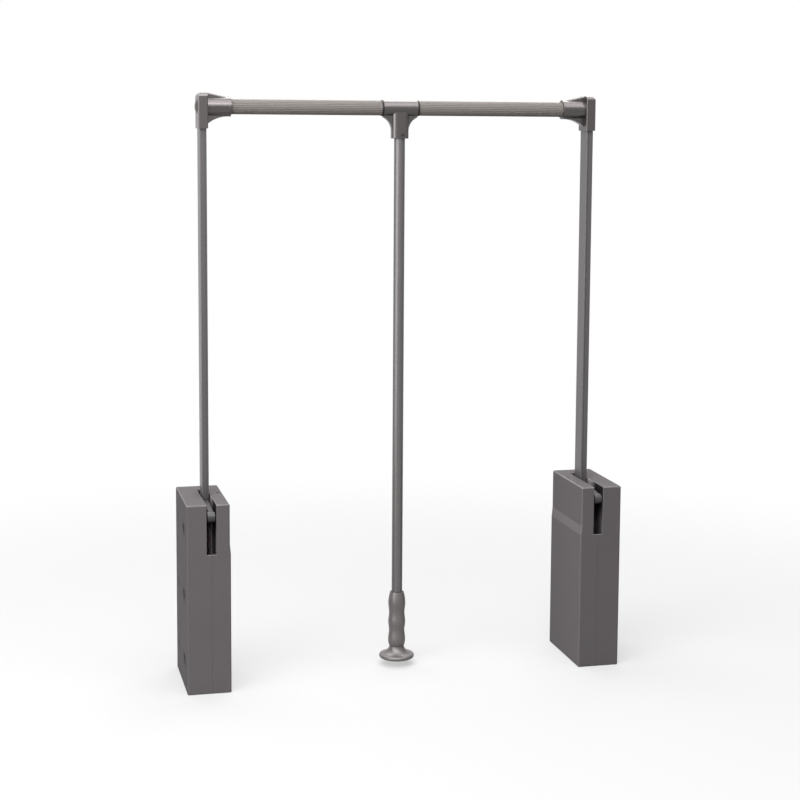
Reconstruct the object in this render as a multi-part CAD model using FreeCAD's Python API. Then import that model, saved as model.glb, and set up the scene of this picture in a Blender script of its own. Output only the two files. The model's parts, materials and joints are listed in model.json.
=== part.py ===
import FreeCAD, Part
import math
import os
from FreeCAD import Vector

# Pull down closet rod. Two spring housings are screwed to the side walls of a wardrobe. A flat arm
# stands in each housing, and a telescopic cross rod joins the two arms. A pull rod with a grip hangs
# from the middle of the cross rod, and brings it down to the front.
# Millimetres. X runs along the cross rod, -Y is the front and +Z is up. The origin is on the floor,
# midway between the housings and in the middle of their depth.

# ---- overall ----
overall_width = 650.0
rod_height = 834.0
swing_angle = 100.0

# ---- housing ----
housing_height = 275.0
housing_depth = 135.0
housing_width = 63.0
housing_corner = 2.0
outer_wall = 4.0
shell_wall = 2.8
arm_inset = 35.5
arm_from_front = 80.0
slot_width = 13.8
slot_drop = 72.0
slot_run = 110.0
parting_groove = 0.25
slot_edge_radius = 0.8
slot_wall = 1.4
base_slot_skirt = 11.0
cover_slot_skirt = 30.0
band_drop = 58.0
band_height = 14.0
band_step = 1.4

# ---- wall screws: holes on the 32 mm system grid ----
wall_hole_radius = 2.6
wall_relief_start = 4.0
wall_relief_end = 6.6
wall_relief_depth = 1.5
wall_hole_front = 37.0
wall_hole_column = 64.0
wall_hole_pitch = 96.0
wall_hole_bottom = 43.0
wall_hole_rows = 3

# ---- drives in the screw heads, as a share of the shank ----
drive_share = 0.6

# ---- how near two numbers are to count as the same ----
tolerance = 0.01

# ---- clearances ----
running_gap = 0.05
slide_gap = 0.1
body_gap = 0.3
socket_gap = 0.1

# ---- pivot ----
pivot_drop = 37.0
axle_radius = 5.0
axle_seat = 2.0
boss_wall = 5.0
axle_boss_length = 7.0
cover_boss_length = 9.0
hub_radius = 8.0
hub_chamfer = 0.5
lever_wrap = 5.0
nose_setback = 8.0
nose_drop = 19.0
nose_radius = 7.5
nose_width = 10.6
heel_thickness = 12.0
lock_screw_radius = 2.0
lock_screw_length = 10.0
lock_socket_radius = 1.1
lock_access_radius = 2.8
lock_column_wall = 2.5
lock_reach = 4.0

# ---- cam, roller and spring ----
cam_thickness = 8.0
cam_offset = 17.5
cam_start_radius = 22.0
cam_rise = 30.0
cam_overrun = 5.0
cam_lead = 15.0
cam_points = 11
cam_nose_radius = 4.0
cam_nose_turn = 8.0
cam_nose_share = 0.6
cam_heel_radius = 14.0
cam_heel_turn = 190.0
cam_back_radius = 16.0
cam_back_turn = 270.0
roller_radius = 8.0
roller_pin_radius = 2.5
fork_cheek = 4.0
fork_rise = 5.0
plunger_half_depth = 12.0
plunger_block = 9.0
plunger_stem_radius = 7.0
plunger_stem_length = 56.0
guide_rod_radius = 4.0
guide_rod_bite = 13.4
spring_radius = 10.3
spring_wire_radius = 1.6
spring_turns = 13
seat_radius = 13.0
seat_height = 6.0
rail_thickness = 2.5
rail_margin = 8.0

# ---- stop ----
stop_pin_radius = 3.0
stop_sleeve_radius = 7.0
stop_sleeve_length = 12.0
stop_rise = 17.0
stop_boss_radius = 6.0
stop_boss_length = 8.0

# ---- cover screws ----
cover_screw_radius = 1.7
cover_screw_head_radius = 3.3
cover_screw_head_height = 1.8
cover_screw_bite = 15.0
cover_screw_inset = 10.5
cover_screw_below_slot = 19.0
screw_boss_radius = 4.5
lead_in = 0.4

# ---- arm ----
arm_width = 10.0
arm_depth = 28.0
arm_wall = 1.5
arm_corner = 1.2
arm_inner_corner = 0.4
arm_groove_width = 1.3
arm_groove_depth = 0.7
arm_groove_inset = 2.7
arm_start_drop = 6.0
lever_thickness = 6.8
lever_insert = 60.0
rivet_radius = 2.5
rivet_spacing = 26.0

# ---- elbow ----
elbow_width = 14.0
elbow_depth = 36.0
elbow_crown = 20.0
elbow_skirt = 31.0
elbow_corner = 1.4
elbow_crown_radius = 6.0
elbow_shoulder_radius = 8.0
elbow_reach = 41.0
elbow_tube_wall = 3.2
elbow_cheek_drop = 7.5
elbow_cheek_draft = 1.4
elbow_gusset_radius = 45.0
elbow_gusset_edge = 4.5
elbow_web_depth = 12.0
collar_width = 3.0
collar_lip = 0.25
hood_reach = 34.0
hood_half_width = 6.0
hood_drop = 5.0
hood_edge_radius = 2.0
arm_socket_clear = 6.0
tube_socket_clear = 8.0
cap_radius = 11.0
cap_dome = 3.0
cap_plug_radius = 7.5
cap_plug_depth = 2.0
elbow_screw_radius = 2.5
elbow_screw_head_radius = 4.5
elbow_screw_head_height = 2.0
elbow_screw_bite = 12.0
arm_screw_radius = 2.0
arm_screw_head_radius = 3.5
arm_screw_head_height = 1.6
arm_screw_length = 8.0
arm_screw_drop = 19.0

# ---- cross rod ----
tube_radius = 10.7
tube_bore_radius = 9.3
flute_count = 24
flute_depth = 0.5
plug_length = 15.0
inner_tube_radius = 8.5
inner_tube_wall = 1.3
inner_tube_end_room = 11.5
bush_flange_radius = 11.65
bush_flange_width = 2.3
bush_sleeve_length = 18.0
bush_edge_radius = 0.4

# ---- tee ----
tee_length = 50.6
tee_drop = 44.0
tee_stem_width = 24.8
tee_stem_depth = 20.0
tee_stem_corner = 6.5
tee_gusset_radius = 21.0
tee_web_depth = 9.0
tee_edge_radius = 0.8
ring_recess_radius = 10.2
ring_recess_depth = 2.0
ring_radius = 9.9
ring_thickness = 1.2
tee_screw_radius = 1.8
tee_screw_head_radius = 3.0
tee_screw_head_height = 1.6
tee_screw_rise = 4.4
tee_screw_turn = 11.0

# ---- pull rod and grip ----
pull_radius = 8.0
pull_wall = 1.2
pull_socket_top = 14.0
grip_floor_gap = 10.0
grip_length = 101.5
grip_mouth_radius = 10.3
grip_neck_radius = 10.8
grip_neck_height = 17.8
grip_waist_radius = 11.7
grip_bulge_radius = 12.9
grip_pitch = 25.3
grip_bulges = 3
grip_top_bulge_height = 84.5
grip_shoulder_drop = 6.0
grip_rim_radius = 26.4
grip_rim_height = 6.5
grip_flare_radius = 15.5
grip_floor = 22.0
grip_recess_radius = 12.0
grip_recess_depth = 5.0
grip_mouth_gap = 0.8
grip_mouth_recess = 2.5
grip_plug_length = 18.0
grip_screw_radius = 1.8
grip_screw_head_radius = 4.0
grip_screw_head_height = 2.4
grip_screw_bite = 14.0

# ---- places worked out from the sizes above ----
outer_x = -overall_width / 2
arm_x = outer_x + arm_inset
front_y = -housing_depth / 2
back_y = housing_depth / 2
pivot_y = front_y + arm_from_front
pivot_z = housing_height - pivot_drop
slot_bottom = housing_height - slot_drop
cover_cavity = housing_width - band_step - shell_wall
hub_start = outer_wall + axle_boss_length + body_gap
hub_end = cover_cavity - cover_boss_length - body_gap
cam_start = cam_offset - cam_thickness / 2
cam_end = cam_offset + cam_thickness / 2
cam_rate = cam_rise / math.radians(swing_angle)
roller_z = pivot_z - cam_start_radius - roller_radius - body_gap
plunger_top = roller_z - roller_radius - body_gap
spring_top = plunger_top - plunger_block
spring_bottom = shell_wall + seat_height
fork_half_width = cam_thickness / 2 + body_gap + fork_cheek
arm_start_z = housing_height - arm_start_drop
arm_end_z = rod_height - arm_socket_clear
lever_half_depth = arm_depth / 2 - arm_wall - socket_gap
stop_y = lever_half_depth + body_gap + stop_sleeve_radius
tube_start_x = arm_x + tube_socket_clear
flange_x = -tee_length / 2 - body_gap
tube_end_x = flange_x - bush_flange_width
sliding_bore = inner_tube_radius + slide_gap
elbow_tube_radius = tube_radius + elbow_tube_wall
inner_tube_half = -tube_start_x - plug_length - inner_tube_end_room
guide_rod_top = spring_top - plunger_stem_length + guide_rod_bite
pull_top = rod_height - pull_socket_top
pull_bottom = grip_floor_gap + grip_floor
grip_top = grip_floor_gap + grip_length


def along_x(radius, u_start, u_end, y, z):
    return Part.makeCylinder(radius, u_end - u_start, Vector(outer_x + u_start, y, z), Vector(1, 0, 0))


def rod_x(radius, x_start, x_end):
    return Part.makeCylinder(radius, x_end - x_start, Vector(x_start, pivot_y, rod_height), Vector(1, 0, 0))


def rod_z(radius, z_start, z_end):
    return Part.makeCylinder(radius, z_end - z_start, Vector(0, pivot_y, z_start))


def block(x_start, x_end, y_start, y_end, z_start, z_end):
    size = Vector(x_end - x_start, y_end - y_start, z_end - z_start)
    return Part.makeBox(size.x, size.y, size.z, Vector(x_start, y_start, z_start))


def wall_block(u_start, u_end, y_start, y_end, z_start, z_end):
    return block(outer_x + u_start, outer_x + u_end, y_start, y_end, z_start, z_end)


def prism(points, direction):
    outline = Part.makePolygon(points + points[:1])
    return Part.Face(outline).extrude(direction)


def rounded_bar(width, depth, corner, z_start, z_end, x, y):
    bar = block(x - width / 2, x + width / 2, y - depth / 2, y + depth / 2, z_start, z_end)
    upright = [edge for edge in bar.Edges if abs(edge.tangentAt(edge.FirstParameter).z) > 1 - tolerance]
    return bar.makeFillet(corner, upright)


# ---- housing shells ----

def housing_block():
    # the inner face steps out below a sloping band
    inner = outer_x + housing_width
    band_top = housing_height - band_drop
    points = [
        Vector(outer_x, front_y, 0),
        Vector(inner, front_y, 0),
        Vector(inner, front_y, band_top - band_height),
        Vector(inner - band_step, front_y, band_top),
        Vector(inner - band_step, front_y, housing_height),
        Vector(outer_x, front_y, housing_height),
    ]
    body = prism(points, Vector(0, housing_depth, 0))
    plain = [edge for edge in body.Edges if not is_band_edge(edge, band_top)]
    return body.makeFillet(housing_corner, plain)


def is_band_edge(edge, band_top):
    # the two level edges that run front to back across the inner face
    low = band_top - band_height
    level = all(min(abs(v.Z - band_top), abs(v.Z - low)) < tolerance for v in edge.Vertexes)
    return level and edge.Length > housing_depth / 2


def slotted_block():
    # the slot's mouth is rounded where it opens to the front and the top
    body = housing_block().cut(arm_slot())
    return body.makeFillet(slot_edge_radius, [edge for edge in body.Edges if is_slot_mouth(edge)])


def is_slot_mouth(edge):
    for vertex in edge.Vertexes:
        beside = abs(abs(vertex.X - arm_x) - slot_width / 2) < tolerance
        outside = vertex.Y < front_y + housing_corner + tolerance
        outside = outside or vertex.Z > housing_height - housing_corner - tolerance
        if not (beside and outside):
            return False
    return True


def parting_frame():
    half = parting_groove / 2
    margin = parting_groove + 1
    outside = wall_block(
        arm_inset - half, arm_inset + half, front_y - margin, back_y + margin,
        -margin, housing_height + margin,
    )
    inside = wall_block(
        arm_inset - margin, arm_inset + margin, front_y + parting_groove, back_y - parting_groove,
        parting_groove, housing_height - parting_groove,
    )
    return outside.cut(inside)


def arm_slot():
    return wall_block(
        arm_inset - slot_width / 2, arm_inset + slot_width / 2,
        front_y - 1, front_y + slot_run, slot_bottom, housing_height + 1,
    )


def cover_screw_places():
    low = cover_screw_inset
    front = front_y + cover_screw_inset
    back = back_y - cover_screw_inset
    return [
        (front, low),
        (back, low),
        (front, slot_bottom - cover_screw_below_slot),
        (back, housing_height - cover_screw_inset),
    ]


def wall_hole_places():
    places = []
    for row in range(wall_hole_rows):
        for column in range(2):
            y = front_y + wall_hole_front + column * wall_hole_column
            z = wall_hole_bottom + row * wall_hole_pitch
            places.append((y, z))
    return places


def slot_side(side, skirt):
    # a wall beside the slot, from its mouth back past the stop
    near = arm_inset + side * slot_width / 2
    far = near + side * slot_wall
    return wall_block(
        min(near, far), max(near, far), front_y + shell_wall / 2, front_y + slot_run + slot_wall,
        slot_bottom - skirt, housing_height - shell_wall / 2,
    )


def hub_window():
    radius = hub_radius + 2 * body_gap
    return along_x(radius, arm_inset - slot_width, arm_inset + slot_width, pivot_y, pivot_z)


def stop_rod(radius, start, end):
    return along_x(radius, start, end, pivot_y + stop_y, pivot_z + stop_rise)


def rail_height():
    low = spring_top - cam_rise - rail_margin
    high = plunger_top
    return low, high


def base_shell():
    shell = slotted_block().common(
        wall_block(0, arm_inset, front_y - 1, back_y + 1, -1, housing_height + 1)
    )
    cavity = wall_block(
        outer_wall, arm_inset + 1, front_y + shell_wall, back_y - shell_wall,
        shell_wall, housing_height - shell_wall,
    )
    shell = shell.cut(cavity).cut(parting_frame())
    boss_start = outer_wall / 2
    bosses = [
        along_x(axle_radius + boss_wall, boss_start, outer_wall + axle_boss_length, pivot_y, pivot_z),
    ]
    for y, z in cover_screw_places():
        bosses.append(along_x(screw_boss_radius, boss_start, arm_inset, y, z))
    bosses.append(stop_rod(stop_boss_radius, boss_start, outer_wall + stop_boss_length))
    bosses.append(slot_side(-1, base_slot_skirt))
    low, high = rail_height()
    for side in (-1, 1):
        near = pivot_y + side * (plunger_half_depth + body_gap)
        far = near + side * rail_thickness
        rail_end = cam_start - body_gap
        bosses.append(wall_block(boss_start, rail_end, min(near, far), max(near, far), low, high))
    shell = shell.multiFuse(bosses)
    holes = [along_x(axle_radius, axle_seat, arm_inset, pivot_y, pivot_z), hub_window()]
    holes.append(stop_rod(stop_pin_radius, axle_seat, arm_inset))
    for y, z in wall_hole_places():
        holes.append(along_x(wall_hole_radius, -1, outer_wall + 1, y, z))
        relief = along_x(wall_relief_end, -1, wall_relief_depth, y, z)
        holes.append(relief.cut(along_x(wall_relief_start, -1, wall_relief_depth, y, z)))
    for y, z in cover_screw_places():
        holes.append(along_x(cover_screw_radius, -1, arm_inset + 1, y, z))
        holes.append(along_x(cover_screw_head_radius, -1, lead_in + cover_screw_head_height, y, z))
    return shell.cut(holes).removeSplitter()


def cover_shell():
    shell = slotted_block().common(
        wall_block(arm_inset, housing_width + 1, front_y - 1, back_y + 1, -1, housing_height + 1)
    )
    cavity = wall_block(
        arm_inset - 1, cover_cavity, front_y + shell_wall, back_y - shell_wall,
        shell_wall, housing_height - shell_wall,
    )
    shell = shell.cut(cavity).cut(parting_frame())
    back_wall = cover_cavity + shell_wall / 2
    boss_start = cover_cavity - cover_boss_length
    bosses = [along_x(axle_radius + boss_wall, boss_start, back_wall, pivot_y, pivot_z)]
    bosses.append(lock_column())
    for y, z in cover_screw_places():
        bosses.append(along_x(screw_boss_radius, arm_inset, back_wall, y, z))
    bosses.append(stop_rod(stop_boss_radius, cover_cavity - stop_boss_length, back_wall))
    bosses.append(slot_side(1, cover_slot_skirt))
    shell = shell.multiFuse(bosses)
    holes = [along_x(axle_radius, arm_inset, cover_cavity, pivot_y, pivot_z), hub_window()]
    holes.append(stop_rod(stop_pin_radius, arm_inset, cover_cavity))
    holes.append(Part.makeCylinder(lock_screw_radius, pivot_drop + 1, lock_foot()))
    access = lock_foot() + Vector(0, 0, axle_radius + lock_screw_length + body_gap)
    holes.append(Part.makeCylinder(lock_access_radius, pivot_drop, access))
    for y, z in cover_screw_places():
        holes.append(along_x(cover_screw_radius, arm_inset - 1, arm_inset + cover_screw_bite, y, z))
    return shell.cut(holes).removeSplitter()


def lock_foot():
    return Vector(outer_x + cover_cavity - lock_reach, pivot_y, pivot_z)


def lock_column():
    height = pivot_drop - shell_wall / 2
    return Part.makeCylinder(lock_screw_radius + lock_column_wall, height, lock_foot())


def axle_lock_screw():
    foot = lock_foot() + Vector(0, 0, axle_radius)
    screw = Part.makeCylinder(lock_screw_radius, lock_screw_length, foot)
    top = foot + Vector(0, 0, lock_screw_length)
    socket = hexagon(lock_socket_radius, lock_screw_length / 3, top)
    return screw.cut(socket)


def hexagon(across, depth, top):
    points = []
    for corner in range(6):
        turn = math.radians(60 * corner)
        points.append(top + Vector(across * math.cos(turn), across * math.sin(turn), 0))
    return prism(points, Vector(0, 0, -depth))


def cover_screws():
    screws = []
    for y, z in cover_screw_places():
        head_end = lead_in + cover_screw_head_height
        head = along_x(cover_screw_head_radius, lead_in, head_end, y, z)
        shank = along_x(cover_screw_radius, lead_in, arm_inset + cover_screw_bite, y, z)
        drive_end = lead_in + cover_screw_head_height / 2
        drive = along_x(cover_screw_radius * drive_share, lead_in, drive_end, y, z)
        screws.append(head.fuse(shank).cut(drive))
    return Part.makeCompound(screws)


# ---- pivot ----

def pivot_axle():
    return along_x(axle_radius, axle_seat, cover_cavity, pivot_y, pivot_z)


def arm_hub():
    hub = along_x(hub_radius, hub_start, hub_end, pivot_y, pivot_z)
    bore = along_x(axle_radius + running_gap, hub_start - 1, hub_end + 1, pivot_y, pivot_z)
    rims = [edge for edge in hub.Edges if isinstance(edge.Curve, Part.Circle)]
    return hub.makeChamfer(hub_chamfer, rims).cut(bore)


def arm_lever():
    # a plate round the hub: its bar stands in the foot of the arm, its rounded nose shows in the slot,
    # and its heel swings up to the stop
    start = arm_inset - lever_thickness / 2
    end = arm_inset + lever_thickness / 2
    bar = rounded_bar(
        lever_thickness, 2 * lever_half_depth, arm_inner_corner, pivot_z, arm_start_z + lever_insert,
        arm_x, pivot_y,
    )
    wrap_radius = hub_radius + lever_wrap
    wrap = along_x(wrap_radius, start, end, pivot_y, pivot_z)
    nose_y = front_y + nose_setback
    nose_z = housing_height - nose_drop
    nose = along_x(
        nose_radius, arm_inset - nose_width / 2, arm_inset + nose_width / 2, nose_y, nose_z,
    )
    side = outer_x + start
    plate = prism(
        [
            Vector(side, pivot_y, arm_start_z - body_gap),
            Vector(side, pivot_y - lever_half_depth, arm_start_z - body_gap),
            Vector(side, nose_y, nose_z + nose_radius),
            Vector(side, nose_y, nose_z - nose_radius),
            Vector(side, pivot_y, pivot_z - wrap_radius),
        ],
        Vector(lever_thickness, 0, 0),
    )
    lever = bar.multiFuse([wrap, plate, nose, lever_heel(start, end)])
    lever = lever.cut(along_x(hub_radius, start - 1, end + 1, pivot_y, pivot_z))
    return lever.cut(rivet_rods(0)).removeSplitter()


def lever_heel(start, end):
    # its back face meets the stop's sleeve when the arm is down
    turn = math.radians(swing_angle)
    sleeve_y = stop_y * math.cos(turn) + stop_rise * math.sin(turn)
    sleeve_z = stop_rise * math.cos(turn) - stop_y * math.sin(turn)
    back = pivot_y + sleeve_y - stop_sleeve_radius - body_gap
    low = pivot_z + sleeve_z - stop_sleeve_radius
    return wall_block(start, end, back - heel_thickness, back, low, pivot_z)


def rivet_rods(proud):
    rods = []
    first = arm_start_z + (lever_insert - rivet_spacing) / 2
    for step in range(2):
        z = first + step * rivet_spacing
        half = arm_width / 2 + proud
        rods.append(along_x(rivet_radius, arm_inset - half, arm_inset + half, pivot_y, z))
    return rods


def spring_cam():
    # the roller's centre climbs by the same amount for each degree, and the cam is that path set in
    # by the roller's radius
    path = []
    start_angle = math.radians(-cam_lead)
    end_angle = math.radians(swing_angle + cam_overrun)
    for step in range(cam_points):
        turn = start_angle + (end_angle - start_angle) * step / (cam_points - 1)
        path.append(cam_point(turn))
    spiral = Part.BSplineCurve()
    spiral.interpolate(path)
    nose_turn = math.radians(cam_nose_turn)
    tip_reach = cam_start_radius + cam_rise
    bend = cam_place(tip_reach - cam_nose_radius / 3, end_angle + nose_turn * cam_nose_share)
    nose = cam_place(tip_reach - cam_nose_radius, end_angle + nose_turn)
    heel = cam_place(cam_heel_radius, math.radians(cam_heel_turn))
    back = cam_place(cam_back_radius, math.radians(cam_back_turn))
    edges = [
        spiral.toShape(),
        Part.Arc(path[-1], bend, nose).toShape(),
        Part.LineSegment(nose, heel).toShape(),
        Part.Arc(heel, back, path[0]).toShape(),
    ]
    plate = Part.Face(Part.Wire(edges)).extrude(Vector(cam_thickness, 0, 0))
    return plate.cut(along_x(hub_radius, cam_start - 1, cam_end + 1, pivot_y, pivot_z))


def cam_place(reach, turn):
    # turn is measured from straight down towards the front
    y = pivot_y - reach * math.sin(turn)
    z = pivot_z - reach * math.cos(turn)
    return Vector(outer_x + cam_start, y, z)


def cam_point(turn):
    reach = cam_start_radius + roller_radius + cam_rate * turn
    centre = cam_place(reach, turn)
    inward = turn - math.atan2(cam_rate, reach)
    y = centre.y + roller_radius * math.sin(inward)
    z = centre.z + roller_radius * math.cos(inward)
    return Vector(centre.x, y, z)


# ---- spring ----

def cam_roller():
    roller = along_x(roller_radius, cam_start, cam_end, pivot_y, roller_z)
    bore_radius = roller_pin_radius + running_gap
    return roller.cut(along_x(bore_radius, cam_start - 1, cam_end + 1, pivot_y, roller_z))


def roller_pin():
    return along_x(
        roller_pin_radius, cam_offset - fork_half_width, cam_offset + fork_half_width, pivot_y, roller_z,
    )


def spring_plunger():
    start = cam_offset - fork_half_width
    end = cam_offset + fork_half_width
    half = plunger_half_depth
    body = wall_block(start, end, pivot_y - half, pivot_y + half, spring_top, roller_z + fork_rise)
    gap = wall_block(
        start + fork_cheek, end - fork_cheek, pivot_y - half - 1, pivot_y + half + 1,
        plunger_top, roller_z + fork_rise + 1,
    )
    centre = Vector(outer_x + cam_offset, pivot_y, spring_top - plunger_stem_length)
    stem = Part.makeCylinder(plunger_stem_radius, plunger_stem_length, centre)
    bore = Part.makeCylinder(guide_rod_radius + slide_gap, plunger_stem_length + plunger_block / 2, centre)
    pin_hole = along_x(roller_pin_radius, start - 1, end + 1, pivot_y, roller_z)
    return body.cut(gap).fuse(stem).cut([bore, pin_hole]).removeSplitter()


def spring_guide_rod():
    foot = Vector(outer_x + cam_offset, pivot_y, shell_wall)
    return Part.makeCylinder(guide_rod_radius, guide_rod_top - shell_wall, foot)


def spring_seat():
    foot = Vector(outer_x + cam_offset, pivot_y, shell_wall)
    seat = Part.makeCylinder(seat_radius, seat_height, foot)
    return seat.cut(Part.makeCylinder(guide_rod_radius, seat_height, foot))


def compression_spring():
    # the coil's ends rest on the seat and under the plunger
    height = spring_top - spring_bottom - 2 * spring_wire_radius
    pitch = height / spring_turns
    coil = Part.makeHelix(pitch, height, spring_radius)
    wire = Part.Wire(Part.makeCircle(spring_wire_radius, Vector(spring_radius, 0, 0), Vector(0, 1, 0)))
    spring = Part.Wire(coil.Edges).makePipeShell([wire], True, True)
    spring = Part.Solid(spring) if spring.ShapeType == "Shell" else spring
    spring.translate(Vector(outer_x + cam_offset, pivot_y, spring_bottom + spring_wire_radius))
    return spring


# ---- stop ----

def stop_pin():
    return stop_rod(stop_pin_radius, axle_seat, cover_cavity)


def stop_buffer():
    # the lever rests on this sleeve when the arm is up, and its heel when the arm is down
    start = arm_inset - stop_sleeve_length / 2
    end = arm_inset + stop_sleeve_length / 2
    return stop_rod(stop_sleeve_radius, start, end).cut(stop_rod(stop_pin_radius, start - 1, end + 1))


# ---- arm ----

def arm_grooves():
    # a rolled line along the front and the back, near the inner side
    middle = arm_x + arm_width / 2 - arm_groove_inset
    start = middle - arm_groove_width / 2
    end = middle + arm_groove_width / 2
    front = pivot_y - arm_depth / 2
    back = pivot_y + arm_depth / 2
    return [
        block(start, end, front - 1, front + arm_groove_depth, arm_start_z - 1, arm_end_z + 1),
        block(start, end, back - arm_groove_depth, back + 1, arm_start_z - 1, arm_end_z + 1),
    ]


def arm_tube():
    tube = rounded_bar(arm_width, arm_depth, arm_corner, arm_start_z, arm_end_z, arm_x, pivot_y)
    tube = tube.cut(arm_grooves())
    hollow = rounded_bar(
        arm_width - 2 * arm_wall, arm_depth - 2 * arm_wall, arm_inner_corner,
        arm_start_z - 1, arm_end_z + 1, arm_x, pivot_y,
    )
    return tube.cut(hollow).cut(rivet_rods(1)).cut(arm_screw_rod(arm_screw_radius))


def arm_rivets():
    return Part.makeCompound(rivet_rods(0))


def arm_screw_place():
    return Vector(arm_x, pivot_y + elbow_depth / 2, rod_height - arm_screw_drop)


def arm_screw_rod(radius):
    return Part.makeCylinder(radius, arm_screw_length, arm_screw_place(), Vector(0, -1, 0))


def elbow_arm_screw():
    inward = Vector(0, -1, 0)
    drive_radius = arm_screw_radius * drive_share
    head = Part.makeCylinder(arm_screw_head_radius, arm_screw_head_height, arm_screw_place(), inward)
    drive = Part.makeCylinder(drive_radius, arm_screw_head_height / 2, arm_screw_place(), inward)
    return head.fuse(arm_screw_rod(arm_screw_radius)).cut(drive)


# ---- elbow ----

def elbow_block():
    # an upright block, rounded over its crown and at its outer top corner
    half = elbow_width / 2
    deep = elbow_depth / 2
    low = rod_height - elbow_skirt
    high = rod_height + elbow_crown
    body = rounded_bar(elbow_width, elbow_depth, elbow_corner, low, high, arm_x, pivot_y)
    across = block(arm_x - half, arm_x + half, pivot_y - deep, pivot_y + deep, low, high)
    crown = [edge for edge in across.Edges if is_level_edge(edge, Vector(1, 0, 0), high)]
    across = across.makeFillet(elbow_crown_radius, crown)
    along = block(arm_x - half, arm_x + half, pivot_y - deep, pivot_y + deep, low, high)
    outer = [
        edge for edge in along.Edges
        if is_level_edge(edge, Vector(0, 1, 0), high) and edge.Vertexes[0].X < arm_x
    ]
    along = along.makeFillet(elbow_shoulder_radius, outer)
    return body.common(across).common(along)


def is_level_edge(edge, direction, height):
    level = all(abs(vertex.Z - height) < tolerance for vertex in edge.Vertexes)
    return level and abs(edge.tangentAt(edge.FirstParameter).dot(direction)) > 1 - tolerance


def elbow_hood():
    # a ridge that slopes from the crown down to the collar
    low = rod_height + elbow_tube_radius - hood_drop
    end = arm_x + hood_reach
    points = [
        Vector(arm_x, 0, low),
        Vector(end, 0, low),
        Vector(end, 0, rod_height + elbow_tube_radius),
        Vector(arm_x + elbow_width / 2, 0, rod_height + elbow_crown),
        Vector(arm_x, 0, rod_height + elbow_crown),
    ]
    ridge = prism(points, Vector(0, 2 * hood_half_width, 0))
    ridge.translate(Vector(0, pivot_y - hood_half_width, 0))
    return ridge.makeFillet(hood_edge_radius, [edge for edge in ridge.Edges if is_ridge_edge(edge, low)])


def is_ridge_edge(edge, low):
    # the edges along the top of the ridge
    along = abs(edge.tangentAt(edge.FirstParameter).x) > tolerance
    return along and all(vertex.Z > low + tolerance for vertex in edge.Vertexes)


def elbow_barrel():
    # below its middle the barrel has flat sides that draw in towards the web
    start = arm_x
    end = arm_x + elbow_reach - collar_width
    wide = elbow_tube_radius
    narrow = elbow_tube_radius - elbow_cheek_draft
    upper = rod_x(wide, start, end).common(
        block(start, end, pivot_y - wide, pivot_y + wide, rod_height, rod_height + wide)
    )
    points = [
        Vector(start, pivot_y - wide, rod_height),
        Vector(start, pivot_y - narrow, rod_height - elbow_cheek_drop),
        Vector(start, pivot_y + narrow, rod_height - elbow_cheek_drop),
        Vector(start, pivot_y + wide, rod_height),
    ]
    cheeks = prism(points, Vector(end - start, 0, 0))
    under = rod_x(wide, start, end).common(
        block(start, end, pivot_y - narrow, pivot_y + narrow, rod_height - wide, rod_height)
    )
    return upper.multiFuse([cheeks, under])


def elbow_gusset():
    # the web under the barrel runs down to the socket in a hollow curve
    inner = arm_x + elbow_width / 2 - elbow_corner
    mouth = arm_x + elbow_reach - collar_width
    low = rod_height - elbow_skirt + elbow_gusset_edge
    mouth_point = Vector(mouth, 0, rod_height - elbow_tube_radius)
    low_point = Vector(inner, 0, low)
    edges = [
        Part.LineSegment(Vector(arm_x, 0, rod_height), Vector(mouth, 0, rod_height)).toShape(),
        Part.LineSegment(Vector(mouth, 0, rod_height), mouth_point).toShape(),
        hollow_arc(low_point, mouth_point, elbow_gusset_radius).toShape(),
        Part.LineSegment(low_point, Vector(arm_x, 0, low)).toShape(),
        Part.LineSegment(Vector(arm_x, 0, low), Vector(arm_x, 0, rod_height)).toShape(),
    ]
    web = Part.Face(Part.Wire(edges)).extrude(Vector(0, elbow_web_depth, 0))
    web.translate(Vector(0, pivot_y - elbow_web_depth / 2, 0))
    return web


def hollow_arc(start, end, radius):
    # an arc in the XZ plane that bends towards the left of the way from start to end
    chord = end.sub(start)
    half = chord.Length / 2
    sag = radius - math.sqrt(radius ** 2 - half ** 2)
    left = Vector(-chord.z, 0, chord.x).normalize()
    return Part.Arc(start, (start + end) / 2 + left * sag, end)


def arm_elbow():
    barrel_end = arm_x + elbow_reach
    barrel = elbow_barrel()
    collar = rod_x(elbow_tube_radius + collar_lip, barrel_end - collar_width, barrel_end)
    rims = [edge for edge in collar.Edges if isinstance(edge.Curve, Part.Circle)]
    collar = collar.makeFillet(collar_lip, rims)
    body = elbow_block().multiFuse([barrel, collar, elbow_hood(), elbow_gusset()])
    outer = arm_x - elbow_width / 2
    head_seat = outer + cap_plug_depth + elbow_screw_head_height
    socket = rounded_bar(
        arm_width + 2 * socket_gap, arm_depth + 2 * socket_gap, arm_corner,
        rod_height - elbow_skirt - 1, arm_end_z, arm_x, pivot_y,
    )
    holes = [
        socket,
        rod_x(tube_radius + socket_gap, tube_start_x, barrel_end + 1),
        rod_x(cap_plug_radius, outer - 1, outer + cap_plug_depth),
        rod_x(elbow_screw_head_radius, outer - 1, head_seat),
        rod_x(elbow_screw_radius, outer - 1, barrel_end),
        Part.makeCylinder(
            arm_screw_head_radius, arm_screw_head_height, arm_screw_place(), Vector(0, -1, 0)
        ),
        arm_screw_rod(arm_screw_radius),
    ]
    return body.cut(holes).removeSplitter()


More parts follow.
